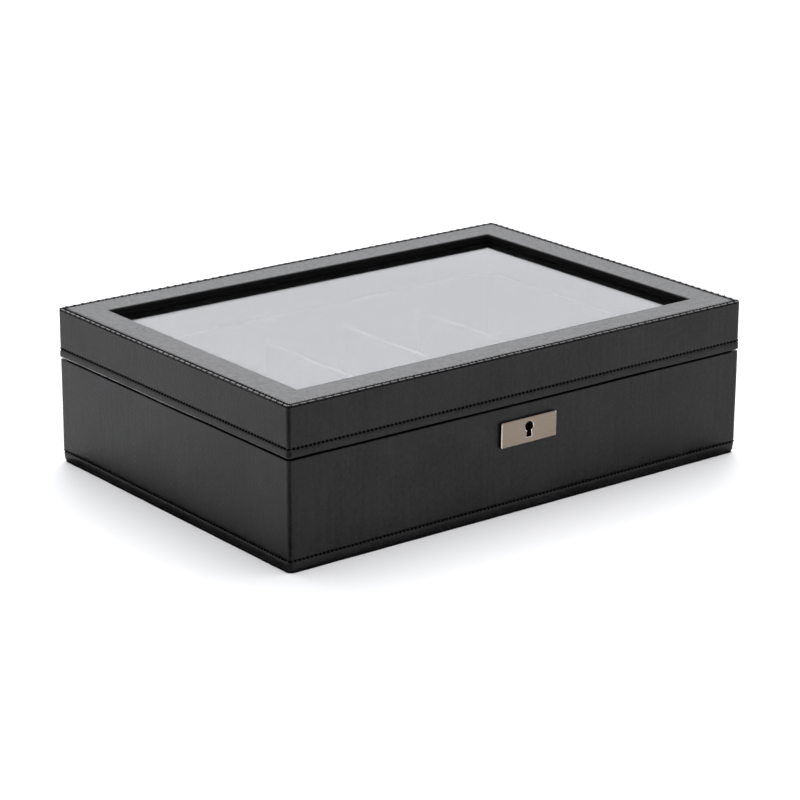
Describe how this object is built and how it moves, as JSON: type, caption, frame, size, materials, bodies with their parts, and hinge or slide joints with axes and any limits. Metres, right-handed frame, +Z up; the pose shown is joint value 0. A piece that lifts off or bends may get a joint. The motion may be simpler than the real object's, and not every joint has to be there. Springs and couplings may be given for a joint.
{
  "type": "multi glasses organizer",
  "caption": "Leather-covered box with a glazed hinged lid over a divided, suede-lined tray for glasses, locked with a key at the front.",
  "frame": {"origin": "centre of the underside of the box, on the surface that it stands on", "axes": "+X to the right along the front, -Y out of the front with the lock, +Z up"},
  "size_m": [0.362, 0.2586, 0.104],
  "materials": {
    "black_leather": "embossed fine grain, satin",
    "mdf": "bare fibreboard",
    "suede_lining": "microsuede, matt nap",
    "felt": "felt, matt",
    "glass": "clear, polished",
    "brushed_nickel": "satin nickel, fine brushing",
    "hinge_steel": "nickel-plated steel",
    "brass": "plain brass"
  },
  "bodies": {
    "base": {"underside_felt": "felt", "base_floor_board": "mdf", "base_leather_wrap": "black_leather", "base_front_board": "mdf", "base_front_lining": "suede_lining", "base_back_board": "mdf", "base_back_lining": "suede_lining", "base_left_board": "mdf", "base_left_lining": "suede_lining", "base_right_board": "mdf", "base_right_lining": "suede_lining", "divider_1": "suede_lining", "divider_2": "suede_lining", "divider_3": "suede_lining", "divider_4": "suede_lining", "compartment_pad_1": "suede_lining", "compartment_pad_2": "suede_lining", "compartment_pad_3": "suede_lining", "compartment_pad_4": "suede_lining", "compartment_pad_5": "suede_lining", "hinge_left_base_leaf": "hinge_steel", "hinge_left_pin": "hinge_steel", "hinge_right_base_leaf": "hinge_steel", "hinge_right_pin": "hinge_steel", "hinge_base_screw_1": "hinge_steel", "hinge_base_screw_2": "hinge_steel", "hinge_base_screw_3": "hinge_steel", "hinge_base_screw_4": "hinge_steel", "lock_plate": "brushed_nickel", "lock_case": "brushed_nickel", "lock_case_cover": "brushed_nickel", "lock_key_post": "hinge_steel", "lock_spring": "hinge_steel", "lock_case_screw_left": "hinge_steel", "lock_case_screw_right": "hinge_steel"},
    "lid": {"lid_leather_cover": "black_leather", "lid_glass": "glass", "lid_front_rail": "mdf", "lid_front_lining": "suede_lining", "lid_back_rail": "mdf", "lid_back_lining": "suede_lining", "lid_left_rail": "mdf", "lid_left_lining": "suede_lining", "lid_right_rail": "mdf", "lid_right_lining": "suede_lining", "hinge_left_lid_leaf": "hinge_steel", "hinge_right_lid_leaf": "hinge_steel", "hinge_lid_screw_1": "hinge_steel", "hinge_lid_screw_2": "hinge_steel", "hinge_lid_screw_3": "hinge_steel", "hinge_lid_screw_4": "hinge_steel", "strike_plate": "brushed_nickel", "strike_screw_left": "hinge_steel", "strike_screw_right": "hinge_steel"},
    "lock_bolt": {"lock_bolt": "brass"}
  },
  "joints": [
    {"name": "lid_hinge", "type": "hinge", "parent": "base", "child": "lid", "pos_m": [0, 0.1272, 0.0712], "axis": [-1, 0, 0], "range_deg": [0, 95]},
    {"name": "bolt_slide", "type": "slide", "parent": "base", "child": "lock_bolt", "axis": [1, 0, 0], "range_m": [0, 0.0045]}
  ]
}
